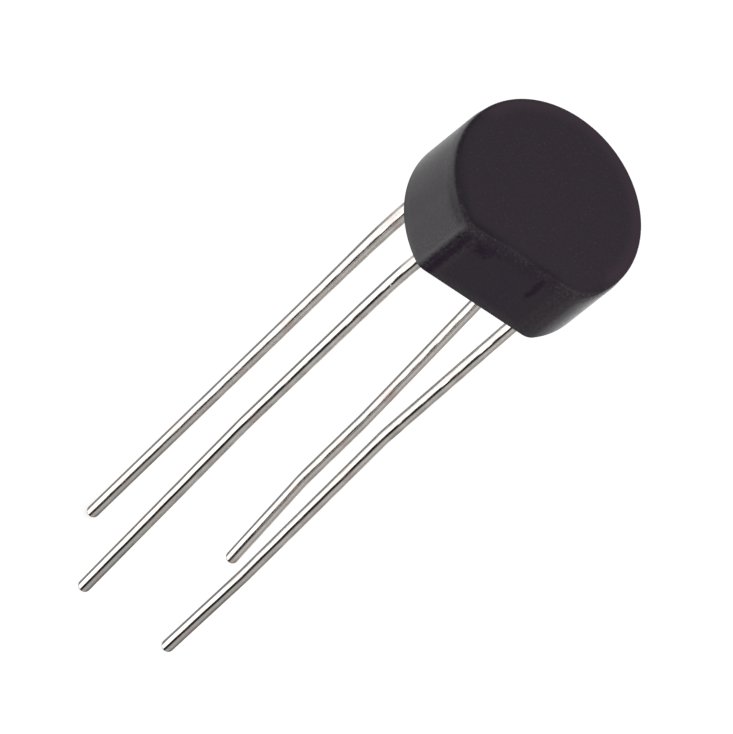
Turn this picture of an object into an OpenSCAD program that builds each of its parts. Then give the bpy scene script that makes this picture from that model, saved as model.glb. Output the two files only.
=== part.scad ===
// Round moulded bridge rectifier with one polarity flat and four formed wire leads.
// Four silicon dice are soldered between stamped copper plates inside the moulding.
// Millimetres. The origin is the centre of the seating face, +Z runs up the body's axis,
// the leads run down -Z, and the polarity flat faces -Y.

/* [Body] */
// Diameter of the body at its seating face
body_d = 9.12; // [8.9:0.01:9.8]
// Height of the body above its seating face
body_h = 4.1; // [3.6:0.05:5.5]
// Distance from the axis to the polarity flat, at the seating face
flat_reach = 3.63; // [3.5:0.01:4]
// Draft of the side walls, in degrees
draft = 0.6; // [0.2:0.1:2]
// Height of the soft shoulder below the top face
shoulder_h = 0.65; // [0.4:0.05:0.9]
// How far the shoulder leans in, in degrees
shoulder_lean = 6.5; // [3:0.5:12]
// Radius that blends the flat into the round wall
flat_corner_r = 0.8; // [0.3:0.05:1.2]
// Radius round the edge of the top face
top_edge_r = 0.2; // [0.05:0.01:0.3]
// Radius round the edge of the seating face
seat_edge_r = 0.08; // [0.03:0.01:0.2]

/* [Leads] */
// Spacing of neighbouring leads, which stand in a square
lead_pitch = 5.08; // [4.7:0.01:5.2]
// Diameter of the lead wire
lead_d = 0.6; // [0.5:0.01:0.65]
// Straight run of every lead below the seating face
exit_run = 2.1; // [2.1:0.1:4]
// Length of the positive lead below the seating face, the longest of the four
positive_len = 35.7; // [26:0.1:38]
// Length of the negative lead below the seating face
negative_len = 34.4; // [32:0.1:38]
// Length of the AC lead beside the flat
ac_front_len = 33.9; // [26:0.1:38]
// Length of the AC lead away from the flat
ac_rear_len = 32.3; // [29:0.1:38]
// Rounding of each lead's cut end
lead_tip_r = 0.12; // [0.03:0.01:0.12]
// Diameter of the nail head on each lead's inner end
head_d = 1; // [1:0.05:1.2]
// Thickness of the nail head
head_t = 0.22; // [0.15:0.01:0.3]
// How far the swaged barb stands out from the wire
barb_out = 0.16; // [0.1:0.01:0.18]
// Height of the barb's widest place above the seating face
barb_z = 0.48; // [0.3:0.01:0.5]
// Height above which the wire swells from the barb's neck to the nail head
neck_z = 0.72; // [0.65:0.01:0.75]

/* [Bridge] */
// Height of the nail heads' tops above the seating face
head_top = 1.2; // [1.1:0.05:1.6]
// Thickness of the stamped copper plates
plate_t = 0.25; // [0.15:0.01:0.3]
// Width of a plate's arms
arm_w = 1.1; // [0.8:0.05:1.2]
// Diameter of the pad that a plate's lead is soldered to
pad_d = 1.3; // [1.2:0.05:1.4]
// Side of a silicon die
die_side = 1.4; // [1.1:0.05:1.4]
// Thickness of a silicon die
die_t = 0.26; // [0.2:0.01:0.32]
// Gap between a stepped plate's riser and the low plate's arm that comes towards it
riser_gap = 0.5; // [0.3:0.05:0.6]
// Width of the step round a die's raised junction
mesa_inset = 0.12; // [0.05:0.01:0.2]
// Height of the raised junction
mesa_t = 0.1; // [0.05:0.01:0.15]
// Thickness of every solder layer
solder_t = 0.05; // [0.03:0.01:0.08]
// How far a die's solder layer stays inside the face that it joins
solder_inset = 0.06; // [0.02:0.01:0.12]

/* [Hidden] */

$fn = 96;
body_r = body_d / 2;
lead_r = lead_d / 2;
half_pitch = lead_pitch / 2;

// Corners of the lead square, each with the turn that lays a plate's arms along its sides
POSITIVE = [-half_pitch, half_pitch, -90];
NEGATIVE = [half_pitch, -half_pitch, 90];
AC_FRONT = [-half_pitch, -half_pitch, 0];
AC_REAR = [half_pitch, half_pitch, 180];

// Middles of the square's sides, where the dice lie
LEFT = [-half_pitch, 0];
REAR = [0, half_pitch];
RIGHT = [half_pitch, 0];
FRONT = [0, -half_pitch];

// Heights of the stack's layers, from the seating face up
low_plate_z = head_top + solder_t;
die_solder_z = low_plate_z + plate_t;
die_z = die_solder_z + solder_t;
top_solder_z = die_z + die_t;
high_plate_z = top_solder_z + solder_t;

// Every arm ends a mesa's inset short of the far side of its die, and the stepped plates' risers
// stand clear of the low arms' ends
arm_reach = half_pitch + die_side / 2 - mesa_inset;
step_x = lead_pitch - arm_reach - riser_gap;

// Way each lead leans, as an angle round +Z from +X
POSITIVE_LEAN = -28;
NEGATIVE_LEAN = -20;
AC_FRONT_LEAN = -18;
AC_REAR_LEAN = -26;

// Bends down each lead: [straight run before the bend, angle, radius]. A positive angle bends
// the wire along its lean, a negative angle bends it back.
POSITIVE_BENDS = [[exit_run, 0.5, 6], [3.9, 2.4, 20]];
NEGATIVE_BENDS = [[exit_run, -3.1, 5], [0.5, 5.2, 7], [8.4, 2.3, 15], [13.7, -1.1, 16]];
AC_FRONT_BENDS = [[exit_run, 2.7, 9], [3.2, 0.3, 12], [10.8, 1.1, 25]];
AC_REAR_BENDS = [[exit_run, 2.8, 9], [4, 2.4, 20], [10.4, -1.3, 36], [5.1, 2.3, 24]];

// --- Body -----------------------------------------------------------------------------

// Half of the moulding's section. Its wall starts `reach` from the axis at the seating face,
// leans in with the draft, leans in further at the shoulder and is rounded into both faces.
// The same section is turned round the axis, run along the flat and turned round each corner,
// so that all edges match.
module wall_section(reach) {
    seat_x = reach - seat_edge_r * (tan(draft) + 1 / cos(draft));
    shoulder_z = body_h - shoulder_h;
    shoulder_x = reach - shoulder_z * tan(draft);
    top_x = shoulder_x - (shoulder_h - top_edge_r) * tan(shoulder_lean)
        - top_edge_r / cos(shoulder_lean);
    polygon([
        [0, 0],
        [seat_x, 0],
        [seat_x + seat_edge_r * cos(draft), seat_edge_r * (1 + sin(draft))],
        [shoulder_x, shoulder_z],
        [top_x + top_edge_r * cos(shoulder_lean), body_h - top_edge_r * (1 - sin(shoulder_lean))],
        [top_x, body_h],
        [0, body_h]
    ]);
    translate([seat_x, seat_edge_r]) circle(r = seat_edge_r);
    translate([top_x, body_h - top_edge_r]) circle(r = top_edge_r);
}

// The round puck with its flat cut, and still a sharp corner at each end of the flat
module sharp_puck() {
    intersection() {
        rotate_extrude() wall_section(body_r);
        rotate([90, 0, -90]) linear_extrude(height = 2 * body_d, center = true) {
            wall_section(flat_reach);
            translate([-body_d, 0]) square([body_d + flat_reach / 2, body_h]);
        }
    }
}

// A corner's post stands this little proud of both walls, so that they cross it cleanly, and
// the waste round it is cut this far past the body's ends
corner_ease = 0.0005;
waste_over = 1;

// Where a corner's rounding is centred: the same distance in from the flat and the round wall
corner_y = flat_corner_r - flat_reach;
corner_x = sqrt(pow(body_r - flat_corner_r, 2) - corner_y * corner_y);

// Waste at one corner: an upright wedge over the corner, less the round post inside it
module corner_waste() {
    outward = [corner_x, corner_y] / norm([corner_x, corner_y]);
    translate([corner_x, corner_y, 0]) difference() {
        translate([0, 0, -waste_over]) linear_extrude(height = body_h + 2 * waste_over)
            polygon(body_r * [[0, 0], [0, -1], outward + [0, -1], outward]);
        rotate_extrude() wall_section(flat_corner_r + corner_ease);
    }
}

module blank() {
    difference() {
        sharp_puck();
        for (side = [0, 1]) mirror([side, 0, 0]) corner_waste();
    }
}

module body() {
    color([0.2, 0.18, 0.2]) difference() {
        blank();
        for (corner = [POSITIVE, NEGATIVE, AC_FRONT, AC_REAR]) {
            at(corner) lead_anchor();
            head_solder(corner);
        }
        for (corner = [POSITIVE, NEGATIVE]) low_plate(corner);
        for (corner = [AC_FRONT, AC_REAR]) stepped_plate(corner);
        for (side = [LEFT, REAR, RIGHT, FRONT]) {
            die_solder(side);
            die(side);
            top_solder(side);
        }
    }
}

// --- Leads ----------------------------------------------------------------------------

module at(place) {
    translate([place.x, place.y, 0]) children();
}

// The lead's end inside the moulding: a swaged barb that stops it turning or pulling out,
// and the nail head that its plate is soldered to
module lead_anchor() {
    head_z = head_top - head_t;
    rotate_extrude() polygon([
        [0, 0],
        [lead_r, 0],
        [lead_r + barb_out, barb_z],
        [lead_r, neck_z],
        [head_d / 2, head_z],
        [head_d / 2, head_top],
        [0, head_top]
    ]);
}

// Wire bent through `angle` on a radius, from the origin pointing down towards +X
module elbow(angle, radius) {
    translate([radius, 0, 0]) rotate([90, 0, 0]) rotate([0, 0, 180])
        rotate_extrude(angle = angle, $fn = 360)
            translate([radius, 0]) circle(r = lead_r, $fn = 48);
}

// Last straight run of the wire, with the edge of its cut end rounded
module wire_end(run) {
    translate([0, 0, -run]) rotate_extrude($fn = 48) {
        square([lead_r - lead_tip_r, run]);
        translate([0, lead_tip_r]) square([lead_r, run - lead_tip_r]);
        translate([lead_r - lead_tip_r, lead_tip_r]) circle(r = lead_tip_r, $fn = 48);
    }
}

// Wire from the origin down -Z through its bends, one after the other, to its cut end.
// `run` is the length that is still to come.
module formed_wire(bends, run, k = 0) {
    if (k == len(bends)) {
        wire_end(run);
    } else {
        straight = bends[k][0];
        angle = abs(bends[k][1]);
        radius = bends[k][2];
        turn = bends[k][1] < 0 ? 180 : 0;
        translate([0, 0, -straight]) {
            cylinder(h = straight, r = lead_r, $fn = 48);
            rotate([0, 0, turn]) {
                elbow(angle, radius);
                translate([radius * (1 - cos(angle)), 0, -radius * sin(angle)])
                    rotate([0, -angle, 0]) rotate([0, 0, -turn])
                        formed_wire(bends, run - straight - radius * angle * PI / 180, k + 1);
            }
        }
    }
}

module lead(corner, lean, bends, length) {
    color([0.72, 0.71, 0.69]) at(corner) {
        lead_anchor();
        rotate([0, 0, lean]) formed_wire(bends, length);
    }
}

// --- Bridge ---------------------------------------------------------------------------

// An arm along +X from `start` to `end`
module arm(start, end, z) {
    translate([start, -arm_w / 2, z]) cube([end - start, arm_w, plate_t]);
}

// L-shaped plate of one level: a pad over its lead, and an arm under each neighbouring die
module low_plate(corner) {
    color([0.78, 0.45, 0.3]) at(corner) rotate([0, 0, corner[2]]) {
        translate([0, 0, low_plate_z]) cylinder(d = pad_d, h = plate_t);
        arm(0, arm_reach, low_plate_z);
        mirror([1, -1, 0]) arm(0, arm_reach, low_plate_z);
    }
}

// L-shaped plate whose arms step up, to lie over the neighbouring dice
module stepped_plate(corner) {
    color([0.78, 0.45, 0.3]) at(corner) rotate([0, 0, corner[2]]) {
        translate([0, 0, low_plate_z]) cylinder(d = pad_d, h = plate_t);
        for (swap = [0, 1]) mirror([swap, -swap, 0]) {
            arm(0, step_x, low_plate_z);
            translate([step_x - plate_t, -arm_w / 2, low_plate_z])
                cube([plate_t, arm_w, high_plate_z + plate_t - low_plate_z]);
            arm(step_x - plate_t, arm_reach, high_plate_z);
        }
    }
}

// A silicon die, with its junction raised on a mesa
module die(side) {
    mesa_side = die_side - 2 * mesa_inset;
    color([0.35, 0.37, 0.42]) at(side) {
        translate([-die_side / 2, -die_side / 2, die_z]) cube([die_side, die_side, die_t - mesa_t]);
        translate([-mesa_side / 2, -mesa_side / 2, die_z]) cube([mesa_side, mesa_side, die_t]);
    }
}

module solder_pad(side, width, z) {
    pad = width - 2 * solder_inset;
    color([0.8, 0.8, 0.82]) at(side) translate([-pad / 2, -pad / 2, z]) cube([pad, pad, solder_t]);
}

module die_solder(side) {
    solder_pad(side, min(arm_w, die_side), die_solder_z);
}

module top_solder(side) {
    solder_pad(side, min(arm_w, die_side - 2 * mesa_inset), top_solder_z);
}

// Solder between a nail head and its plate, out to the head's rim
module head_solder(corner) {
    color([0.8, 0.8, 0.82]) at(corner) translate([0, 0, head_top])
        cylinder(d = head_d, h = solder_t);
}

// --- Nodes ----------------------------------------------------------------------------

body();
lead(POSITIVE, POSITIVE_LEAN, POSITIVE_BENDS, positive_len);  // lead_positive
lead(NEGATIVE, NEGATIVE_LEAN, NEGATIVE_BENDS, negative_len);  // lead_negative
lead(AC_FRONT, AC_FRONT_LEAN, AC_FRONT_BENDS, ac_front_len);  // lead_ac_front
lead(AC_REAR, AC_REAR_LEAN, AC_REAR_BENDS, ac_rear_len);  // lead_ac_rear
low_plate(POSITIVE);  // plate_positive
low_plate(NEGATIVE);  // plate_negative
stepped_plate(AC_FRONT);  // plate_ac_front
stepped_plate(AC_REAR);  // plate_ac_rear
die(LEFT);  // die_left
die(REAR);  // die_rear
die(RIGHT);  // die_right
die(FRONT);  // die_front
die_solder(LEFT);  // die_solder_left
die_solder(REAR);  // die_solder_rear
die_solder(RIGHT);  // die_solder_right
die_solder(FRONT);  // die_solder_front
top_solder(LEFT);  // top_solder_left
top_solder(REAR);  // top_solder_rear
top_solder(RIGHT);  // top_solder_right
top_solder(FRONT);  // top_solder_front
head_solder(POSITIVE);  // head_solder_positive
head_solder(NEGATIVE);  // head_solder_negative
head_solder(AC_FRONT);  // head_solder_ac_front
head_solder(AC_REAR);  // head_solder_ac_rear
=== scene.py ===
"""Looks of a round moulded bridge rectifier: moulding, formed leads, inner bridge and studio.

Sizes are written in millimetres and degrees, and become metres and radians where a mesh or a
lamp is made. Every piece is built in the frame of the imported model: the origin is the centre of
the seating face, +Z runs up the body's axis, and the polarity flat faces -Y.
"""

import logging
import math
from dataclasses import dataclass
from enum import Enum

import bpy
from mathutils import Matrix, Vector, noise


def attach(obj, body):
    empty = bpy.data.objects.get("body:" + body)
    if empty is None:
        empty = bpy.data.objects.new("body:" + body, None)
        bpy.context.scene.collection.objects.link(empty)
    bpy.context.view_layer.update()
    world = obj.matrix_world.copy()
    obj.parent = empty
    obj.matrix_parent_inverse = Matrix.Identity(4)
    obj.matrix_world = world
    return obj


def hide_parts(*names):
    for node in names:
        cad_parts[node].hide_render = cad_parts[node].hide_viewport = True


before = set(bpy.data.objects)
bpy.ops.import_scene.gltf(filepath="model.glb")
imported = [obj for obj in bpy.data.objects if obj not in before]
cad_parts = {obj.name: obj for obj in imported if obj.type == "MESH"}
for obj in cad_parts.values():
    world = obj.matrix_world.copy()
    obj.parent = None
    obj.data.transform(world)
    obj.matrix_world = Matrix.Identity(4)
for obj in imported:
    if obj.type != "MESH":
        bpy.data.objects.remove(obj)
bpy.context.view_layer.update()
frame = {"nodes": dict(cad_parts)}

log = logging.getLogger("bridge_rectifier")

MM = 0.001
WIRE_ATTRIBUTE = "straight_wire"
SOFT_DETAIL = 0.5
PLAIN_DETAIL = 2.0
FINE_DETAIL = 3.0

Colour = tuple[float, float, float]
Point = tuple[float, float, float]
Span = tuple[float, float]
Stops = list[tuple[float, float]]


class Slot(Enum):
    """Names of the record's material slots for the epoxy and the tinned wire."""

    EPOXY = "epoxy"
    WIRE = "tinned_wire"


class Side(Enum):
    """Corners of the lead square, as signs of X and Y."""

    REAR_LEFT = (-1, 1)
    FRONT_RIGHT = (1, -1)
    FRONT_LEFT = (-1, -1)
    REAR_RIGHT = (1, 1)


# --- Nodes ----------------------------------------------------------------------------


class Socket:
    """A node's output. Operators on it add the Math nodes that work the expression out."""

    def __init__(self, graph: "Graph", output: bpy.types.NodeSocket) -> None:
        """Keeps the graph that the output belongs to, and the output."""
        self.graph = graph
        self.output = output

    def maths(self, operation: str, *values: "Socket | float") -> "Socket":
        """Adds a Math node.

        Args:
            operation: The node's operation.
            values: Its inputs, in order.

        Returns:
            The node's result.
        """
        inputs = dict(enumerate(values))
        return self.graph.add("ShaderNodeMath", {"operation": operation}, inputs, "Value")

    def __add__(self, other: "Socket | float") -> "Socket":
        """Returns self + other."""
        return self.maths("ADD", self, other)

    def __radd__(self, other: float) -> "Socket":
        """Returns other + self."""
        return self.maths("ADD", other, self)

    def __sub__(self, other: "Socket | float") -> "Socket":
        """Returns self - other."""
        return self.maths("SUBTRACT", self, other)

    def __rsub__(self, other: float) -> "Socket":
        """Returns other - self."""
        return self.maths("SUBTRACT", other, self)

    def __mul__(self, other: "Socket | float") -> "Socket":
        """Returns self * other."""
        return self.maths("MULTIPLY", self, other)

    def __rmul__(self, other: float) -> "Socket":
        """Returns other * self."""
        return self.maths("MULTIPLY", other, self)

    def __truediv__(self, other: "Socket | float") -> "Socket":
        """Returns self / other."""
        return self.maths("DIVIDE", self, other)

    def __pow__(self, other: "Socket | float") -> "Socket":
        """Returns self to the power other."""
        return self.maths("POWER", self, other)

    def __abs__(self) -> "Socket":
        """Returns self without its sign."""
        return self.maths("ABSOLUTE", self)

    def larger(self, other: "Socket") -> "Socket":
        """Returns the larger of self and other."""
        return self.maths("MAXIMUM", self, other)

    def smaller(self, other: "Socket") -> "Socket":
        """Returns the smaller of self and other."""
        return self.maths("MINIMUM", self, other)

    def rise(self, low: float, high: float) -> "Socket":
        """Returns a smooth step that is 0 below low and 1 above high.

        Args:
            low: Value at which the step starts.
            high: Value at which it ends.

        Returns:
            The step.
        """
        settings = {"interpolation_type": "SMOOTHSTEP"}
        inputs = {"Value": self, "From Min": low, "From Max": high}
        return self.graph.add("ShaderNodeMapRange", settings, inputs, "Result")

    def fall(self, low: float, high: float) -> "Socket":
        """Returns a smooth step that is 1 below low and 0 above high."""
        return 1 - self.rise(low, high)


class Graph:
    """A node tree that is built one node at a time."""

    def __init__(self, tree: bpy.types.NodeTree) -> None:
        """Keeps the tree, and empties it."""
        self.tree = tree
        self.tree.nodes.clear()

    def node(self, kind: str, settings: dict | None = None, inputs: dict | None = None) -> bpy.types.Node:
        """Adds any node.

        Args:
            kind: The node's type.
            settings: Its settings, set before its inputs. "stops" are a ramp's stops.
            inputs: Values or sockets, by the input's identifier, name or number.

        Returns:
            The node.
        """
        made = self.tree.nodes.new(kind)
        for name, value in (settings or {}).items():
            if name == "stops":
                self.set_stops(made.color_ramp, value)
            else:
                setattr(made, name, value)
        for name, value in (inputs or {}).items():
            target = self.find_input(made, name)
            if isinstance(value, Socket):
                self.tree.links.new(value.output, target)
            else:
                target.default_value = value
        return made

    def add(self, kind: str, settings: dict | None, inputs: dict | None, output: str) -> Socket:
        """Adds any node, for the sake of one of its outputs.

        Args:
            kind: The node's type.
            settings: Its settings.
            inputs: Values or sockets for its inputs.
            output: The output's name.

        Returns:
            The output.
        """
        made = self.node(kind, settings, inputs)
        found = [s for s in made.outputs if s.name == output and s.enabled]
        return Socket(self, found[0])

    @staticmethod
    def find_input(node: bpy.types.Node, name: str | int) -> bpy.types.NodeSocket:
        """Finds an input of a node.

        Args:
            node: The node.
            name: The input's identifier, its name or its number.

        Returns:
            The input.
        """
        if isinstance(name, int):
            return node.inputs[name]
        found = [s for s in node.inputs if s.identifier == name]
        return found[0] if found else node.inputs[name]

    @staticmethod
    def set_stops(ramp: bpy.types.ColorRamp, stops: Stops) -> None:
        """Gives a ramp its grey stops.

        Args:
            ramp: The ramp.
            stops: Each stop's position and level.
        """
        while len(ramp.elements) < len(stops):
            ramp.elements.new(1.0)
        for element, (position, level) in zip(ramp.elements, stops):
            element.position = position
            element.color = (level, level, level, 1.0)

    def blend(self, factor: Socket | float, first: Socket | Colour, second: Socket | Colour) -> Socket:
        """Mixes two colours.

        Args:
            factor: 0 gives the first colour and 1 the second.
            first: The first colour.
            second: The second colour.

        Returns:
            The mixed colour.
        """
        ends = [c if isinstance(c, Socket) else (*c, 1.0) for c in (first, second)]
        inputs = {"Factor_Float": factor, "A_Color": ends[0], "B_Color": ends[1]}
        return self.add("ShaderNodeMix", {"data_type": "RGBA"}, inputs, "Result")

    def vector(self, operation: str, first: Socket, second: Point) -> Socket:
        """Returns a Vector Math node's vector for a socket and a constant."""
        return self.add("ShaderNodeVectorMath", {"operation": operation}, {0: first, 1: second}, "Vector")

    def noise(self, place: Socket, scale: float, detail: float = PLAIN_DETAIL) -> Socket:
        """Returns noise around 0.5 with about scale blobs for each unit of place."""
        inputs = {"Vector": place, "Scale": scale, "Detail": detail}
        return self.add("ShaderNodeTexNoise", None, inputs, "Fac")

    def parts(self, place: Socket) -> list[Socket]:
        """Returns a vector's X, Y and Z."""
        split = self.node("ShaderNodeSeparateXYZ", None, {"Vector": place})
        return [Socket(self, output) for output in split.outputs]

    def length(self, offset: Socket) -> Socket:
        """Returns a vector's length."""
        return self.add("ShaderNodeVectorMath", {"operation": "LENGTH"}, {0: offset}, "Value")

    def length_from(self, place: Socket, centre: Point) -> Socket:
        """Returns the distance from a point to a constant one."""
        return self.length(self.vector("SUBTRACT", place, centre))


class Surface(Graph):
    """The node tree of one material, with places measured in millimetres."""

    def __init__(self, name: str) -> None:
        """Makes an empty material.

        Args:
            name: The material's name.
        """
        self.material = bpy.data.materials.new(name)
        self.material.use_nodes = True
        super().__init__(self.material.node_tree)

    def in_mm(self, point: Socket) -> Socket:
        """Returns a point in metres as one in millimetres."""
        return self.vector("MULTIPLY", point, (1 / MM,) * 3)

    def place(self) -> Socket:
        """Returns the object's own coordinates, in millimetres."""
        return self.in_mm(self.add("ShaderNodeTexCoord", None, None, "Object"))

    def wire_place(self) -> Socket:
        """Returns where a point lay on the wire before it was bent, in millimetres."""
        named = {"attribute_name": WIRE_ATTRIBUTE, "attribute_type": "GEOMETRY"}
        return self.in_mm(self.add("ShaderNodeAttribute", named, None, "Vector"))

    def bump(self, height: Socket, depth: float) -> Socket:
        """Returns the normal of a relief that is depth millimetres deep."""
        inputs = {"Height": height, "Distance": depth * MM, "Strength": 1.0}
        return self.add("ShaderNodeBump", None, inputs, "Normal")

    def shader(self, **inputs: "Socket | float | tuple") -> Socket:
        """Adds a Principled shader.

        Args:
            inputs: The shader's inputs, with underscores for spaces.

        Returns:
            The shader.
        """
        named = {name.replace("_", " "): value for name, value in inputs.items()}
        return self.add("ShaderNodeBsdfPrincipled", None, named, "BSDF")

    def end(self, shader: Socket) -> bpy.types.Material:
        """Ends the material in a shader, and returns it."""
        self.node("ShaderNodeOutputMaterial", None, {"Surface": shader})
        return self.material

    def finish(self, **inputs: "Socket | float | tuple") -> bpy.types.Material:
        """Ends the material in one Principled shader.

        Args:
            inputs: The shader's inputs, with underscores for spaces.

        Returns:
            The material.
        """
        return self.end(self.shader(**inputs))


# --- Finishes -------------------------------------------------------------------------


@dataclass(frozen=True)
class EpoxyZones:
    """Where a point of the moulding lies, and the noises there, which its looks share."""

    place: Socket
    x: Socket
    y: Socket
    height: Socket
    reach: Socket
    top: Socket
    rim: Socket
    inset: Socket
    edge: Socket
    corner: Socket
    mottle: Socket
    grain: Socket
    lumps: Socket
    specks: Socket


@dataclass(frozen=True)
class EpoxyFinish:
    """Black moulded epoxy: satin walls, a matte top, a grainy rim and sparse mineral specks."""

    colour: Colour = (0.0140, 0.0052, 0.0162)
    wall_roughness: float = 0.34
    top_roughness: float = 0.62
    refraction: float = 1.56
    top_z: Span = (4.0, 4.09)
    rim_z: Span = (3.2, 3.7)

    # Noises, in blobs for each millimetre
    mottle_scale: float = 1.3
    violet_scale: float = 0.9
    grain_scale: float = 8.0
    lump_scale: float = 4.5
    speck_scale: float = 10.0
    speck_span: Span = (0.62, 0.68)

    # Warm and violet clouds, and mineral specks
    warm_colour: Colour = (0.0185, 0.0055, 0.0145)
    warm_span: Span = (0.4, 0.75)
    warm_share: float = 0.8
    violet_colour: Colour = (0.0135, 0.0030, 0.0210)
    violet_span: Span = (0.5, 0.72)
    speck_colour: Colour = (0.110, 0.100, 0.115)
    speck_share: float = 0.2
    rim_speck_share: float = 0.3

    # Painted glow low on the walls, standing in for light from below, and pale grain with a painted
    # highlight on the flat's two corners
    painted_glow_colour: Colour = (0.050, 0.043, 0.046)
    base_glow_z: Span = (0.15, 0.75)
    base_glow_grain: Span = (0.3, 0.6)
    base_glow_share: float = 0.75
    corner_at: tuple[float, float] = (2.475, -2.83)
    corner_r: float = 0.8
    corner_span: Span = (0.06, 0.24)
    corner_sheen_grain: Span = (0.35, 0.7)
    corner_sheen_share: float = 0.7

    # The edge of the top face: a painted highlight in pale lumps outside, a painted shade line inside it,
    # and a painted sheen on the far side
    edge_reach: float = 4.48
    flat_edge_y: float = -3.55
    edge_inset: float = 0.36
    edge_z: Span = (3.7, 4.0)
    rim_glint_span: Span = (0.45, 0.65)
    rim_glint_share: float = 0.08
    rim_shade_colour: Colour = (0.0060, 0.0006, 0.0080)
    rim_shade_start: Span = (0.05, 0.18)
    rim_shade_end: Span = (0.3, 0.6)
    rim_shade_at: Point = (-2.6, -3.3, 4.1)
    rim_shade_fade: Span = (0.3, 6.8)
    far_sheen_colour: Colour = (0.0350, 0.0170, 0.0300)
    far_sheen_way: tuple[float, float] = (0.469, 0.883)
    far_sheen_side: Span = (-0.7, 0.4)
    far_sheen_reach: Span = (3.6, 4.35)

    # Gloss, added to the walls' roughness
    rim_matte: float = 0.06
    edge_matte: float = 0.20
    behind_matte: float = 0.22
    behind_y: Span = (-3.2, -2.4)
    grain_matte: float = 0.25

    # Relief, in shares of its depth
    grain_depth: float = 0.005
    edge_depth: float = 0.028
    grain_relief: float = 0.6
    rim_relief: float = 1.2
    corner_relief: float = 1.2
    speck_relief: float = 0.5

    # Dull flaws of the flat: a streak, a smear, and a dull darker band beside its left corner
    flaw_colour: Colour = (0.0335, 0.0205, 0.0365)
    flaw_roughness: float = 0.8
    flaw_wander: float = 1.2
    streak_at: Point = (1.26, -3.6, 2.95)
    streak_size: Point = (0.21, 1.0, 0.88)
    streak_span: Span = (0.4, 1.2)
    streak_share: float = 0.9
    smear_at: Point = (-1.65, -3.6, 3.15)
    smear_size: Point = (0.85, 1.0, 0.55)
    smear_wander: float = 1.4
    smear_span: Span = (0.3, 1.25)
    smear_share: float = 0.85
    flat_y: Span = (-3.61, -3.50)
    flat_dullness: float = 0.16
    dark_band_start: Span = (-2.61, -2.45)
    dark_band_end: Span = (-2.32, -2.04)
    dark_band_z: Span = (3.3, 3.9)
    dark_band_wander: float = 0.3
    dark_band_grain: Span = (0.35, 0.62)
    dark_band_share: float = 0.64
    dark_band_grain_share: float = 0.4

    def zones(self, s: Surface) -> EpoxyZones:
        """Works out where a point lies.

        Args:
            s: The material's graph.

        Returns:
            The point's zones and noises.
        """
        place = s.place()
        x, y, height = s.parts(place)
        top = height.rise(*self.top_z)
        reach = (x * x + y * y) ** 0.5
        inset = (self.edge_reach - reach).smaller(y - self.flat_edge_y)
        aside, ahead = abs(x) - self.corner_at[0], y - self.corner_at[1]
        from_corner = (aside * aside + ahead * ahead) ** 0.5 - self.corner_r
        return EpoxyZones(
            place=place, x=x, y=y, height=height, reach=reach, top=top, inset=inset,
            rim=height.rise(*self.rim_z) * (1 - top),
            edge=inset.fall(0.0, self.edge_inset) * height.rise(*self.edge_z),
            corner=from_corner.fall(*self.corner_span) * (1 - top),
            mottle=s.noise(place, self.mottle_scale, FINE_DETAIL),
            grain=s.noise(place, self.grain_scale, FINE_DETAIL),
            lumps=s.noise(place, self.lump_scale, FINE_DETAIL),
            specks=s.noise(place, self.speck_scale).rise(*self.speck_span),
        )

    def tint(self, s: Surface, at: EpoxyZones) -> Socket:
        """Colours the moulding: its clouds and specks, a painted glow low on the walls, painted
        highlights on the corners and the top edge, and painted shade and sheen round the top.

        Args:
            s: The material's graph.
            at: The point's zones.

        Returns:
            The colour.
        """
        violet = s.noise(at.place, self.violet_scale).rise(*self.violet_span) * (1 - at.top)
        # Painted glow: pale grain low on the walls, a brightening that stands in for light from below.
        painted_base_glow = at.height.fall(*self.base_glow_z) * at.grain.rise(*self.base_glow_grain) * self.base_glow_share
        # The corners' pale grain is partly the fillets' grain and partly a painted highlight; worn holds
        # both painted lights.
        worn = painted_base_glow.larger(at.corner * at.grain.rise(*self.corner_sheen_grain) * self.corner_sheen_share)
        # Painted highlight: pale lumps along the top edge, where the edge's highlight breaks up.
        painted_rim_glints = at.edge * at.lumps.rise(*self.rim_glint_span)
        # Painted shade: a dark line just inside the top edge, strongest near the flat's left corner.
        painted_rim_shade = at.inset.rise(*self.rim_shade_start) * at.inset.fall(*self.rim_shade_end) * at.top
        painted_rim_shade = painted_rim_shade * s.length_from(at.place, self.rim_shade_at).fall(*self.rim_shade_fade)
        # Painted sheen: the top paler towards its rear and right edge, as if catching light from behind.
        painted_far_sheen = (at.x * self.far_sheen_way[0] + at.y * self.far_sheen_way[1]).rise(*self.far_sheen_side) * at.top
        layers = [
            (violet, self.violet_colour),
            (worn, self.painted_glow_colour),
            (at.specks * (self.speck_share + at.rim * self.rim_speck_share), self.speck_colour),
            (painted_rim_glints * self.rim_glint_share, self.speck_colour),
            (painted_rim_shade, self.rim_shade_colour),
            (painted_far_sheen * at.reach.rise(*self.far_sheen_reach), self.far_sheen_colour),
        ]
        warm = at.mottle.rise(*self.warm_span) * self.warm_share
        colour = s.blend(warm, self.colour, self.warm_colour)
        for share, layer in layers:
            colour = s.blend(share, colour, layer)
        return colour

    def gloss(self, at: EpoxyZones) -> Socket:
        """Makes the walls satin, the top matte and the edge between them matte in places.

        Args:
            at: The point's zones.

        Returns:
            The roughness.
        """
        matte = at.edge * (self.edge_matte + at.y.fall(*self.behind_y) * self.behind_matte)
        roughness = self.wall_roughness + at.top * (self.top_roughness - self.wall_roughness)
        return roughness + at.rim * self.rim_matte + matte + (at.grain - 0.5) * self.grain_matte

    def relief(self, s: Surface, at: EpoxyZones) -> Socket:
        """Raises the grain, the specks and the lumps along the edge.

        Args:
            s: The material's graph.
            at: The point's zones.

        Returns:
            The normal.
        """
        coarse = self.grain_relief + at.rim * self.rim_relief + at.corner * self.corner_relief
        relief = at.grain * coarse + at.specks * self.speck_relief
        relief = relief + at.lumps * at.edge * (self.edge_depth / self.grain_depth)
        return s.bump(relief, self.grain_depth)

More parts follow.
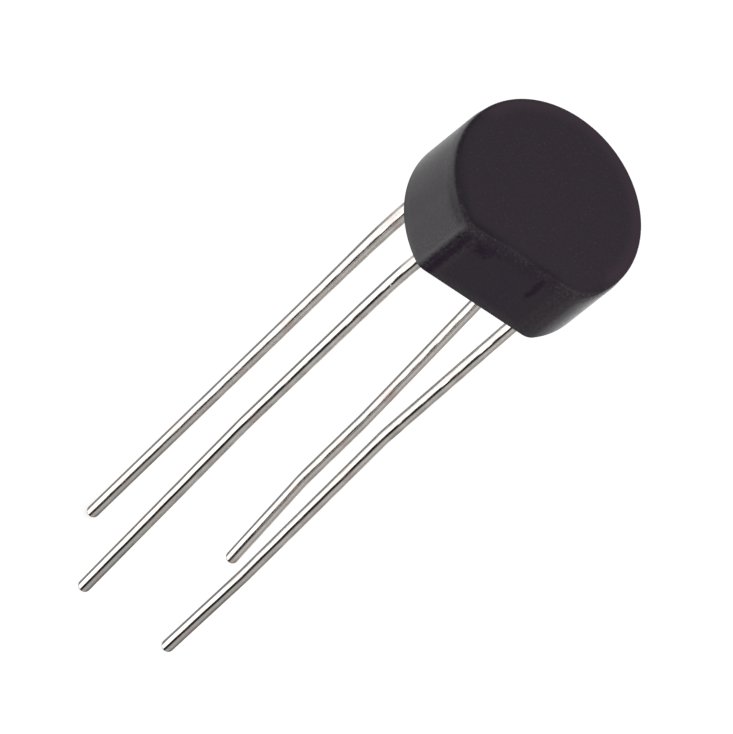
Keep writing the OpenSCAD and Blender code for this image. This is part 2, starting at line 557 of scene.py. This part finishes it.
    def flaws(self, s: Surface, at: EpoxyZones) -> Socket:
        """Spreads the dull flaws over the flat.

        Args:
            s: The material's graph.
            at: The point's zones.

        Returns:
            How much of the surface is dull.
        """
        wander = (at.mottle - 0.5) * self.flaw_wander + (at.lumps - 0.5) * self.flaw_wander
        streak = self.spot(s, at.place, self.streak_at, self.streak_size) + wander
        smear = self.spot(s, at.place, self.smear_at, self.smear_size) + wander * self.smear_wander
        flat = at.y.fall(*self.flat_y) * (1 - at.top)
        # A dull darker band on the flat, beside its left corner.
        across = at.x + (at.lumps - 0.5) * self.dark_band_wander
        dark_band = across.rise(*self.dark_band_start) * flat * at.height.fall(*self.dark_band_z)
        dark_band = dark_band * across.fall(*self.dark_band_end)
        dark_band = dark_band * (self.dark_band_share + at.grain.rise(*self.dark_band_grain) * self.dark_band_grain_share)
        streak = streak.fall(*self.streak_span) * self.streak_share
        smear = smear.fall(*self.smear_span) * self.smear_share
        return streak.larger(smear).larger(flat * self.flat_dullness).larger(dark_band)

    @staticmethod
    def spot(s: Surface, place: Socket, centre: Point, size: Point) -> Socket:
        """Returns the distance from a spot's centre, which is 1 at its rim.

        Args:
            s: The material's graph.
            place: The point, in millimetres.
            centre: The spot's centre.
            size: Its half-sizes.

        Returns:
            The distance.
        """
        return s.length(s.vector("DIVIDE", s.vector("SUBTRACT", place, centre), size))

    def material(self) -> bpy.types.Material:
        """Builds the material.

        Returns:
            The material.
        """
        s = Surface("epoxy")
        at = self.zones(s)
        tint, gloss, normal = self.tint(s, at), self.gloss(at), self.relief(s, at)
        epoxy = s.shader(Base_Color=tint, Roughness=gloss, IOR=self.refraction, Normal=normal)
        flat_black = (*self.flaw_colour, 1.0)
        dull = s.shader(Base_Color=flat_black, Roughness=self.flaw_roughness, Specular_IOR_Level=0.0)
        shaders = {0: self.flaws(s, at), 1: epoxy, 2: dull}
        return s.end(s.add("ShaderNodeMixShader", None, shaders, "Shader"))


@dataclass(frozen=True)
class WireFinish:
    """Bright tin on drawn wire, with warm thin places, dull haze and fine lines along the wire."""

    name: str
    roughness: float
    nick_at: Point | None = None
    nick_span: Span = (0.033, 0.11)
    nick_colour: Colour = (0.95, 0.94, 0.92)
    nick_matte: float = 0.5
    colour: Colour = (0.94, 0.885, 0.835)
    warm_colour: Colour = (0.86, 0.69, 0.66)
    warm_scale: float = 0.5
    warm_span: Span = (0.50, 0.70)
    warm_share: float = 0.75
    warm_matte: float = 0.10
    dull_colour: Colour = (0.56, 0.52, 0.475)
    dull_scale: float = 11.0
    dull_span: Span = (0.42, 0.68)
    dull_share: float = 0.36
    line_scale: float = 14.0
    line_stretch: float = 0.06
    line_depth: float = 0.0008
    line_matte: float = 0.10
    wave_scale: float = 1.0
    wave_stretch: float = 0.7
    wave_depth: float = 0.030

    def material(self) -> bpy.types.Material:
        """Builds the material.

        Returns:
            The material.
        """
        s = Surface(self.name)
        wire = s.wire_place()
        drawn = s.vector("MULTIPLY", wire, (1.0, 1.0, self.line_stretch))
        lines = s.noise(drawn, self.line_scale)
        rolled = s.vector("MULTIPLY", wire, (1.0, 1.0, self.wave_stretch))
        waves = s.noise(rolled, self.wave_scale, SOFT_DETAIL)
        warm = s.noise(wire, self.warm_scale, FINE_DETAIL).rise(*self.warm_span)
        dull = s.noise(wire, self.dull_scale).rise(*self.dull_span)
        colour = s.blend(warm * self.warm_share, self.colour, self.warm_colour)
        colour = s.blend(dull * self.dull_share, colour, self.dull_colour)
        roughness = self.roughness + warm * self.warm_matte + (lines - 0.5) * self.line_matte
        if self.nick_at:
            nick = s.length_from(s.place(), self.nick_at).fall(*self.nick_span)
            colour = s.blend(nick, colour, self.nick_colour)
            roughness = roughness + nick * self.nick_matte
        normal = s.bump(waves * (self.wave_depth / self.line_depth) + lines, self.line_depth)
        return s.finish(Base_Color=colour, Metallic=1.0, Roughness=roughness, Normal=normal)


BRIGHT_TIN = WireFinish("bright_tin", 0.08)
NICKED_TIN = WireFinish("nicked_tin", 0.08, nick_at=(-2.53, -2.84, -3.0))
SOFT_TIN = WireFinish("soft_tin", 0.11)
HAZY_TIN = WireFinish("hazy_tin", 0.145)


@dataclass(frozen=True)
class InnerFinish:
    """A finish of the pieces inside the moulding: a base colour with flecks of a second one."""

    name: str
    colour: Colour
    fleck_colour: Colour
    metallic: float
    roughness: float
    fleck_scale: float
    fleck_span: Span = (0.45, 0.65)
    fleck_matte: float = 0.3
    fleck_depth: float = 0.004

    def material(self) -> bpy.types.Material:
        """Builds the material.

        Returns:
            The material.
        """
        s = Surface(self.name)
        flecks = s.noise(s.place(), self.fleck_scale, FINE_DETAIL)
        colour = s.blend(flecks.rise(*self.fleck_span), self.colour, self.fleck_colour)
        roughness = self.roughness + (flecks - 0.5) * self.fleck_matte
        normal = s.bump(flecks, self.fleck_depth)
        return s.finish(Base_Color=colour, Metallic=self.metallic, Roughness=roughness, Normal=normal)


COPPER = InnerFinish("copper_plate", (0.72, 0.34, 0.20), (0.62, 0.55, 0.50), 1.0, 0.34, 6.0)
SILICON = InnerFinish("silicon", (0.16, 0.17, 0.20), (0.24, 0.25, 0.29), 0.6, 0.22, 9.0)
SOLDER = InnerFinish("solder", (0.62, 0.62, 0.63), (0.45, 0.45, 0.46), 1.0, 0.42, 16.0)


# --- Pieces ---------------------------------------------------------------------------


def portion(value: float, start: float, end: float) -> float:
    """Returns how far a value is from start to end, kept between 0 and 1."""
    return min(1.0, max(0.0, (value - start) / (end - start)))


def add_object(name: str, data: bpy.types.ID) -> bpy.types.Object:
    """Adds an object to the scene.

    Args:
        name: The object's name.
        data: Its mesh, curve, lamp or camera.

    Returns:
        The object.
    """
    made = bpy.data.objects.new(name, data)
    bpy.context.scene.collection.objects.link(made)
    return made


def dress(piece: bpy.types.Object, finish: bpy.types.Material) -> None:
    """Gives a piece one material.

    Args:
        piece: The object to dress.
        finish: Its material.
    """
    piece.data.materials.clear()
    piece.data.materials.append(finish)


def seat(piece: bpy.types.Object, node: str) -> None:
    """Puts a finished piece in the frame, in place of the CAD node that it stands for.

    Args:
        piece: The finished piece.
        node: The CAD node that it replaces.
    """
    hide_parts(node)
    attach(piece, "root")
    log.info("%s: %d faces", piece.name, len(piece.data.polygons))


@dataclass
class MouldedBody:
    """The epoxy puck: a round wall and one flat, with draft, soft rims and rounded corners.

    Every ring of the mesh is the same outline, moved in by an amount that the section gives.
    """

    diameter: float = 9.12
    height: float = 4.1
    flat_reach: float = 3.63
    corner_r: float = 0.8
    draft: float = 0.6
    seat_edge_r: float = 0.08
    shoulder_h: float = 0.65
    shoulder_lean: float = 6.5
    top_edge_r: float = 0.2
    round_steps: int = 300
    corner_steps: int = 28
    flat_steps: int = 60
    seat_steps: int = 6
    wall_steps: int = 12
    shoulder_steps: int = 8
    rim_steps: int = 12
    top_ring: float = 0.4
    worn_in: float = 0.07
    worn_down: float = 0.25
    worn_z: float = 3.5
    worn_y: Span = (-2.7, -3.2)
    worn_x: float = -0.5
    worn_wave: float = 3.2
    nick_depth: float = 0.035
    nick_scale: float = 2.2

    def corner_centre(self) -> tuple[float, float]:
        """Returns where the right-hand corner's rounding is centred."""
        y = self.corner_r - self.flat_reach
        return math.sqrt((self.diameter / 2 - self.corner_r) ** 2 - y * y), y

    def outline(self, inset: float) -> list[tuple[float, float]]:
        """Runs once round the puck.

        Args:
            inset: How far the outline lies inside the one at the seating face.

        Returns:
            Its points, counter-clockwise from the right-hand corner.
        """
        x, y = self.corner_centre()
        start = math.atan2(y, x)
        reach = self.diameter / 2 - inset
        corner = self.corner_r - inset
        points = []
        for k in range(self.round_steps):
            a = start + (math.pi - 2 * start) * k / self.round_steps
            points.append((reach * math.cos(a), reach * math.sin(a)))
        for k in range(self.corner_steps):
            a = math.pi - start + (math.pi / 2 + start) * k / self.corner_steps
            points.append((corner * math.cos(a) - x, corner * math.sin(a) + y))
        for k in range(self.flat_steps):
            points.append((2 * x * k / self.flat_steps - x, inset - self.flat_reach))
        for k in range(self.corner_steps):
            a = (math.pi / 2 + start) * k / self.corner_steps - math.pi / 2
            points.append((corner * math.cos(a) + x, corner * math.sin(a) + y))
        return points

    def section(self) -> list[tuple[float, float]]:
        """Runs up the wall's section.

        The wall leans in with the draft, and the shoulder below the top edge leans in further.

        Returns:
            Pairs of inset and height, from the seating face to the top face.
        """
        draft, lean = math.tan(math.radians(self.draft)), math.radians(self.shoulder_lean)
        edge, rim = self.seat_edge_r, self.top_edge_r
        rows = []
        for k in range(self.seat_steps):
            a = math.pi / 2 * k / self.seat_steps
            rows.append((edge * (1 - math.sin(a)), edge * (1 - math.cos(a))))
        shoulder = self.height - self.shoulder_h
        for k in range(self.wall_steps + 1):
            z = edge + (shoulder - edge) * k / self.wall_steps
            rows.append((z * draft, z))
        rise = self.shoulder_h - rim * (1 - math.sin(lean))
        drift = rise * math.tan(lean)
        for k in range(1, self.shoulder_steps + 1):
            t = k / self.shoulder_steps
            rows.append((shoulder * draft + drift * t, shoulder + rise * t))
        inset, z = rows[-1]
        for k in range(1, self.rim_steps + 1):
            a = lean + (math.pi / 2 - lean) * k / self.rim_steps
            out = rim * (math.cos(lean) - math.cos(a))
            rows.append((inset + out, z + rim * (math.sin(a) - math.sin(lean))))
        rows.append((rows[-1][0] + self.top_ring, self.height))
        return rows

    def worn(self, x: float, y: float, z: float) -> Vector:
        """Wears the rim above the flat, which is uneven and low in one place.

        Args:
            x: The point's place along the flat.
            y: Its place across the flat.
            z: Its height.

        Returns:
            The worn point.
        """
        up = portion(z, self.worn_z, self.height)
        front = portion(y, *self.worn_y)
        low = (1 + math.cos(math.tau * (x - self.worn_x) / self.worn_wave)) / 2
        nicks = (1 + noise.noise(Vector((x, y, z)) * self.nick_scale)) / 2
        depth = up * up * front * (self.worn_in * low + self.nick_depth * nicks)
        return Vector((x, y + depth, z - self.worn_down * depth))

    def mesh(self) -> bpy.types.Mesh:
        """Builds the closed shell of the moulding.

        Returns:
            The mesh, in metres.
        """
        rows = self.section()
        verts = [self.worn(x, y, z) for inset, z in rows[:-1] for x, y in self.outline(inset)]
        verts += [Vector((x, y, rows[-1][1])) for x, y in self.outline(rows[-1][0])]
        count = len(verts) // len(rows)
        faces = []
        for row in range(len(rows) - 1):
            for k in range(count):
                a, b = row * count + k, row * count + (k + 1) % count
                faces.append((a, b, b + count, a + count))
        verts += [Vector((0, 0, 0)), Vector((0, 0, self.height))]
        bottom, top, last = len(verts) - 2, len(verts) - 1, (len(rows) - 1) * count
        for k in range(count):
            faces.append((bottom, (k + 1) % count, k))
            faces.append((top, last + k, last + (k + 1) % count))
        mesh = bpy.data.meshes.new("moulded_body")
        mesh.from_pydata([v * MM for v in verts], [], faces)
        mesh.shade_smooth()
        return mesh

    def build(self) -> bpy.types.Object:
        """Builds, dresses and seats the moulding.

        Returns:
            The piece.
        """
        piece = add_object("moulded_body", self.mesh())
        dress(piece, EpoxyFinish().material())
        seat(piece, "body")
        return piece


class WireTree:
    """Geometry Nodes that draw round wire along a curve.

    They also note where each point lay on the wire before it was bent.
    """

    def __init__(self) -> None:
        """Builds the node group."""
        self.group = bpy.data.node_groups.new("wire_along_path", "GeometryNodeTree")
        face = self.group.interface
        face.new_socket("Path", in_out="INPUT", socket_type="NodeSocketGeometry")
        self.radius = face.new_socket("Wire Radius", in_out="INPUT", socket_type="NodeSocketFloat")
        self.sides = face.new_socket("Sides", in_out="INPUT", socket_type="NodeSocketInt")
        self.finish = face.new_socket("Finish", in_out="INPUT", socket_type="NodeSocketMaterial")
        face.new_socket("Wire", in_out="OUTPUT", socket_type="NodeSocketGeometry")
        self.fill(Graph(self.group))

    def fill(self, g: Graph) -> None:
        """Adds the nodes.

        Args:
            g: The empty graph of the group.
        """
        given = g.node("NodeGroupInput")
        path, radius, sides, finish = [Socket(g, given.outputs[k]) for k in range(4)]
        length = g.add("GeometryNodeSplineParameter", None, None, "Length")
        path, along = self.capture(g, path, "FLOAT", length)
        inputs = {"Resolution": sides, "Radius": radius}
        ring = g.add("GeometryNodeCurvePrimitiveCircle", None, inputs, "Curve")
        place = g.add("GeometryNodeInputPosition", None, None, "Position")
        ring, around = self.capture(g, ring, "VECTOR", place)
        swell = g.add("GeometryNodeInputRadius", None, None, "Radius")
        inputs = {"Curve": path, "Profile Curve": ring, "Scale": swell, "Fill Caps": True}
        wire = g.add("GeometryNodeCurveToMesh", None, inputs, "Mesh")
        across = g.parts(around)
        inputs = {"X": across[0], "Y": across[1], "Z": along}
        straight = g.add("ShaderNodeCombineXYZ", None, inputs, "Vector")
        kept = {"data_type": "FLOAT_VECTOR", "domain": "POINT"}
        inputs = {"Geometry": wire, "Name": WIRE_ATTRIBUTE, "Value": straight}
        wire = g.add("GeometryNodeStoreNamedAttribute", kept, inputs, "Geometry")
        wire = g.add("GeometryNodeSetShadeSmooth", None, {"Geometry": wire}, "Geometry")
        wire = g.add("GeometryNodeRealizeInstances", None, {"Geometry": wire}, "Geometry")
        inputs = {"Geometry": wire, "Material": finish}
        wire = g.add("GeometryNodeSetMaterial", None, inputs, "Geometry")
        g.node("NodeGroupOutput", None, {0: wire})

    @staticmethod
    def capture(g: Graph, geometry: Socket, kind: str, value: Socket) -> tuple[Socket, Socket]:
        """Keeps a value on a geometry's points.

        Args:
            g: The graph.
            geometry: The geometry.
            kind: The value's type.
            value: The value.

        Returns:
            The geometry, and the kept value.
        """
        keep = g.node("GeometryNodeCaptureAttribute", None, {"Geometry": geometry})
        keep.capture_items.new(kind, "kept")
        g.tree.links.new(value.output, keep.inputs[1])
        return Socket(g, keep.outputs[0]), Socket(g, keep.outputs[1])

    def draw(
        self, path: bpy.types.Object, radius: float, sides: int, finish: bpy.types.Material, name: str
    ) -> bpy.types.Object:
        """Draws wire along a curve and makes it a plain mesh.

        Args:
            path: The curve, which is removed afterwards.
            radius: The wire's radius, in metres.
            sides: Faces round the wire.
            finish: The wire's material.
            name: The new piece's name.

        Returns:
            The new piece.
        """
        modifier = path.modifiers.new("wire", "NODES")
        modifier.node_group = self.group
        modifier[self.radius.identifier] = radius
        modifier[self.sides.identifier] = sides
        modifier[self.finish.identifier] = finish
        graph = bpy.context.evaluated_depsgraph_get()
        mesh = bpy.data.meshes.new_from_object(path.evaluated_get(graph), depsgraph=graph)
        mesh.name = name
        path.modifiers.remove(modifier)
        bpy.data.objects.remove(path)
        return add_object(name, mesh)


@dataclass
class Bend:
    """One bend of a lead: the straight run before it, its angle and its radius."""

    run: float
    angle: float
    radius: float


@dataclass
class FormedLead:
    """One wire lead: nail head and barb inside the moulding, then bends down to a cut end."""

    node: str
    side: Side
    finish: WireFinish
    lean: float
    length: float
    bends: list[Bend]
    exit_shift: float = 0.0
    exit_angle: float = 0.0
    swell: float = 0.0
    swell_z: Span = (-12.5, -7.0)
    pitch: float = 5.08
    wire_r: float = 0.3
    tip_r: float = 0.2
    head_r: float = 0.5
    head_top: float = 1.2
    head_t: float = 0.22
    neck_z: float = 0.72
    barb_z: float = 0.48
    barb_out: float = 0.16
    sides: int = 48
    bend_steps: int = 12
    tip_steps: int = 10
    step: float = 0.5

    def anchor(self) -> list[Point]:
        """Runs down the nail head and the barb, inside the moulding.

        Returns:
            Points, each its place along the lean, height and radius.
        """
        barb = self.wire_r + self.barb_out
        rows = [(self.head_top, self.head_r), (self.head_top - self.head_t, self.head_r)]
        rows += [(self.neck_z, self.wire_r), (self.barb_z, barb)]
        return [(0.0, z, r) for z, r in rows]

    def bent_run(self) -> list[Point]:
        """Follows the wire from the seating face down to its cut end.

        Returns:
            Points, each its place along the lean, height and radius.
        """
        x, z, turn, left = self.exit_shift, 0.0, math.radians(self.exit_angle), self.length
        points = [(x, z, self.wire_r)]

        def forward(distance: float) -> None:
            """Moves on down the wire in its present direction.

            Args:
                distance: How far.
            """
            nonlocal x, z, left
            x += distance * math.sin(turn)
            z -= distance * math.cos(turn)
            left -= distance
            points.append((x, z, self.wire_r))

        for bend in self.bends:
            pieces = max(1, round(bend.run / self.step))
            for _ in range(pieces):
                forward(bend.run / pieces)
            angle = math.radians(bend.angle) / self.bend_steps
            for _ in range(self.bend_steps):
                turn += angle / 2
                forward(abs(angle) * bend.radius)
                turn += angle / 2
        run = left - self.tip_r
        pieces = max(1, round(run / self.step))
        for _ in range(pieces):
            forward(run / pieces)
        step = math.pi / 2 / self.tip_steps
        for k in range(1, self.tip_steps + 1):
            a = math.pi / 2 * k / self.tip_steps
            forward(self.tip_r * (math.sin(a) - math.sin(a - step)))
            points[-1] = (x, z, self.wire_r - self.tip_r * (1 - math.cos(a)))
        return points

    def swollen(self, out: float, height: float, radius: float) -> Point:
        """Returns a point with a larger radius near the body, where the wire was gripped."""
        return out, height, radius + self.swell * portion(height, *self.swell_z)

    def path(self) -> bpy.types.Object:
        """Draws the wire's centre line, with its radius as a share of the wire's.

        Returns:
            The line, a curve.
        """
        rows = self.anchor() + [self.swollen(*row) for row in self.bent_run()]
        curve = bpy.data.curves.new(self.node, "CURVE")
        curve.dimensions = "3D"
        line = curve.splines.new("POLY")
        line.points.add(len(rows) - 1)
        lean = Vector((math.cos(math.radians(self.lean)), math.sin(math.radians(self.lean)), 0))
        corner = Vector((*self.side.value, 0)) * self.pitch / 2
        for point, (out, height, radius) in zip(line.points, rows):
            place = (corner + lean * out + Vector((0, 0, height))) * MM
            point.co = (*place, 1)
            point.radius = radius / self.wire_r
        return add_object(self.node + "_path", curve)

    def build(self, tree: WireTree) -> bpy.types.Object:
        """Draws, dresses and seats the lead.

        Args:
            tree: The node group that draws wire.

        Returns:
            The piece.
        """
        name = "wire_" + self.node
        finish = bpy.data.materials.get(self.finish.name) or self.finish.material()
        piece = tree.draw(self.path(), self.wire_r * MM, self.sides, finish, name)
        seat(piece, self.node)
        return piece


@dataclass
class LeadSet:
    """The four leads, the positive one longest."""

    exit_run: float = 2.1

    def leads(self) -> list[FormedLead]:
        """Lists the leads with their own bends.

        Returns:
            The leads, in the order of the record.
        """
        return [
            FormedLead(
                "lead_positive", Side.REAR_LEFT, HAZY_TIN, lean=-28, length=35.7,
                bends=[Bend(self.exit_run, 0.5, 6), Bend(2.22, 2.4, 100)], swell=0.05,
            ),
            FormedLead(
                "lead_negative", Side.FRONT_RIGHT, BRIGHT_TIN, lean=-20, length=34.4,
                bends=[Bend(11.907, 2.3, 15), Bend(13.7, -1.1, 16)],
                exit_shift=-0.168, exit_angle=2.1,
            ),
            FormedLead(
                "lead_ac_front", Side.FRONT_LEFT, NICKED_TIN, lean=-18, length=33.9,
                bends=[Bend(1.2, 2.7, 47), Bend(2.309, 0.3, 12), Bend(10.8, 1.1, 25)],
            ),
            FormedLead(
                "lead_ac_rear", Side.REAR_RIGHT, SOFT_TIN, lean=-26, length=32.3,
                bends=[Bend(self.exit_run, 2.8, 9), Bend(4, 2.4, 20), Bend(10.4, -1.3, 36),
                       Bend(5.1, 2.3, 24)],
            ),
        ]

    def build(self) -> None:
        """Builds all the leads with one node group."""
        tree = WireTree()
        for lead in self.leads():
            lead.build(tree)


@dataclass
class InnerBridge:
    """The plates, dice and solder inside the moulding, which keep their CAD shapes."""

    nodes: dict[str, bpy.types.Object]

    def build(self) -> None:
        """Dresses each inner node by the first of the finishes' words that its name holds."""
        finishes = {"solder": SOLDER.material(), "plate": COPPER.material(), "die": SILICON.material()}
        for name, piece in self.nodes.items():
            kind = next((word for word in finishes if word in name), None)
            if kind:
                dress(piece, finishes[kind])
                log.info("%s: dressed as %s", name, kind)


# --- Studio ---------------------------------------------------------------------------


def direction(azimuth: float, elevation: float) -> Vector:
    """Returns the way out from the origin at an azimuth and an elevation, in degrees."""
    a, e = math.radians(azimuth), math.radians(elevation)
    return Vector((math.cos(e) * math.cos(a), math.cos(e) * math.sin(a), math.sin(e)))


@dataclass
class Camera:
    """A long lens above the flat's left corner, rolled so that the leads run to the lower left."""

    target: Point = (-1.598, -5.695, -4.824)
    azimuth: float = -113.445
    elevation: float = 50.410
    distance: float = 230.0
    roll: float = -51.576
    lens: float = 273.3
    sensor: float = 36.0
    clip: Span = (10.0, 10000.0)

    def build(self) -> bpy.types.Object:
        """Builds the camera and makes it the scene's.

        Returns:
            The camera.
        """
        roll = math.radians(self.roll)
        back = direction(self.azimuth, self.elevation)
        level_up = (Vector((0, 0, 1)) - back * back.z).normalized()
        up = level_up * math.cos(roll) + level_up.cross(back) * math.sin(roll)
        data = bpy.data.cameras.new("camera")
        data.lens = self.lens
        data.sensor_width = self.sensor
        data.sensor_fit = "HORIZONTAL"
        data.clip_start, data.clip_end = (distance * MM for distance in self.clip)
        camera = add_object("camera", data)
        turn = Matrix((up.cross(back), up, back)).transposed().to_4x4()
        camera.matrix_world = Matrix.Translation((Vector(self.target) + back * self.distance) * MM) @ turn
        bpy.context.scene.camera = camera
        return camera


@dataclass
class Lamp:
    """A square soft lamp that faces the object."""

    name: str
    azimuth: float
    elevation: float
    distance: float
    size: float
    level: float

    def build(self) -> bpy.types.Object:
        """Builds the lamp. At level 1 it lights a white face that looks at it to white.

        Returns:
            The lamp.
        """
        out = direction(self.azimuth, self.elevation)
        data = bpy.data.lights.new(self.name, "AREA")
        data.size = self.size * MM
        data.energy = self.level * (math.pi * self.distance * MM) ** 2
        lamp = add_object(self.name, data)
        lamp.location = out * self.distance * MM
        lamp.rotation_euler = out.to_track_quat("Z", "Y").to_euler()
        return lamp


@dataclass
class Studio:
    """A pale floor in a light tent: a broad bright side, a dark gap beside it, and grey walls.

    Directions round the tent are counted from the middle of its bright side. The spans of the
    tent's parts are sines of their elevation.
    """

    floor_z: float = -36.0
    floor_side: float = 1600.0
    floor_level: float = 0.86
    floor_top_up: float = 0.57
    far_span: Span = (100.0, 420.0)
    far_top_up: float = 0.19
    bright_azimuth: float = -138.5
    brightest: float = 2.1
    nadir_span: Span = (-0.97, -0.91)
    nadir_level: float = 0.06
    deep_span: Span = (-0.772, -0.735)
    upper_span: Span = (-0.55, 0.05)

    def low_stops(self) -> Stops:
        """Lists the levels round the tent's lower part.

        Returns:
            Angles in degrees with their levels.
        """
        return [
            (-180, 1.75), (-168, 1.70), (-147, 1.15), (-112, 1.06), (-98, 0.80), (-75, 1.22),
            (-52, 1.10), (-28, 0.64), (-8, 0.44), (4, 1.40), (14, 2.10), (27, 2.10), (33, 0.02),
            (54, 0.02), (64, 0.34), (75, 0.44), (86, 0.56), (98, 0.52), (110, 0.38), (148, 0.34),
            (158, 0.52), (168, 1.00), (177, 1.65),
        ]

    def deep_stops(self) -> Stops:
        """Lists the levels round the tent's bottom.

        Returns:
            Angles in degrees with their levels.
        """
        return [
            (-180, 0.14), (-135, 0.14), (-115, 0.22), (-64, 0.20), (-55, 1.00), (-47, 1.55),
            (14, 1.60), (20, 0.02), (54, 0.02), (64, 0.36), (90, 0.40), (140, 0.16), (180, 0.14),
        ]

    def high_stops(self) -> Stops:
        """Lists the levels round the tent's upper part.

        Returns:
            Angles in degrees with their levels.
        """
        return [
            (-180, 0.37), (-120, 0.37), (-80, 0.20), (-15, 0.22), (25, 0.34), (45, 0.48),
            (95, 0.48), (120, 0.36), (180, 0.37),
        ]

    def ring(self, g: Graph, turn: Socket, stops: Stops) -> Socket:
        """Turns levels round the tent into a colour.

        Args:
            g: The world's graph.
            turn: The place round the tent, from 0 to 1.
            stops: Angles in degrees with their levels.

        Returns:
            The colour.
        """
        scaled = [(angle / 360 + 0.5, level / self.brightest) for angle, level in stops]
        ramp = g.add("ShaderNodeValToRGB", {"stops": scaled}, {"Fac": turn}, "Color")
        return g.vector("MULTIPLY", ramp, (self.brightest,) * 3)

    def world(self) -> None:
        """Builds the tent: plain white to the camera, and its real levels to all other rays."""
        world = bpy.data.worlds.new("light_tent")
        world.use_nodes = True
        bpy.context.scene.world = world
        g = Graph(world.node_tree)
        way = g.add("ShaderNodeTexCoord", None, None, "Generated")
        x, y, z = g.parts(way)
        bright = math.radians(self.bright_azimuth)
        c, s = math.cos(bright), math.sin(bright)
        turn = x.maths("ARCTAN2", y * c - x * s, x * c + y * s) / math.tau + 0.5
        deep = self.ring(g, turn, self.deep_stops())
        low = self.ring(g, turn, self.low_stops())
        deep = g.blend(z.fall(*self.nadir_span), deep, (self.nadir_level,) * 3)
        low = g.blend(z.rise(*self.deep_span), deep, low)
        high = self.ring(g, turn, self.high_stops())
        level = g.blend(z.rise(*self.upper_span), low, high)
        seen = g.add("ShaderNodeLightPath", None, None, "Is Camera Ray")
        colour = g.blend(seen, level, (1.0, 1.0, 1.0))
        light = g.add("ShaderNodeBackground", None, {"Color": colour}, "Background")
        g.node("ShaderNodeOutputWorld", None, {"Surface": light})

    def floor(self) -> bpy.types.Object:
        """Builds the floor, which shows a soft shadow on white. Metal mirrors the tent below it.

        Returns:
            The floor.
        """
        half = self.floor_side / 2
        corners = [(-half, -half), (half, -half), (half, half), (-half, half)]
        mesh = bpy.data.meshes.new("floor")
        mesh.from_pydata([Vector((x, y, self.floor_z)) * MM for x, y in corners], [], [(0, 1, 2, 3)])
        floor = add_object("floor", mesh)
        s = Surface("floor")
        paper = s.add("ShaderNodeBsdfDiffuse", None, {"Color": (self.floor_level,) * 3 + (1.0,)}, "BSDF")
        seen = s.add("ShaderNodeLightPath", None, None, "Is Camera Ray")
        away = s.length_from(s.place(), (0.0, 0.0, self.floor_z)).rise(*self.far_span)
        top_up = seen * (self.floor_top_up + away * self.far_top_up)
        glow = s.add("ShaderNodeEmission", None, {"Strength": top_up}, "Emission")
        both = s.add("ShaderNodeAddShader", None, {0: paper, 1: glow}, "Shader")
        dress(floor, s.end(both))
        floor.visible_glossy = False
        return floor

    def build(self) -> None:
        """Builds the floor, the tent, two lamps and the camera."""
        self.floor()
        self.world()
        Lamp("key_lamp", azimuth=-110, elevation=62, distance=180, size=110, level=0.20).build()
        Lamp("fill_lamp", azimuth=-40, elevation=70, distance=200, size=290, level=0.30).build()
        Camera().build()
        bpy.context.scene.view_settings.view_transform = "Standard"


# --- Build ----------------------------------------------------------------------------


def main() -> None:
    """Builds the object and its studio, in order."""
    logging.basicConfig(level=logging.INFO, format="%(name)s: %(message)s")
    MouldedBody().build()
    LeadSet().build()
    InnerBridge(frame["nodes"]).build()
    Studio().build()


if __name__ == "__main__":
    main()
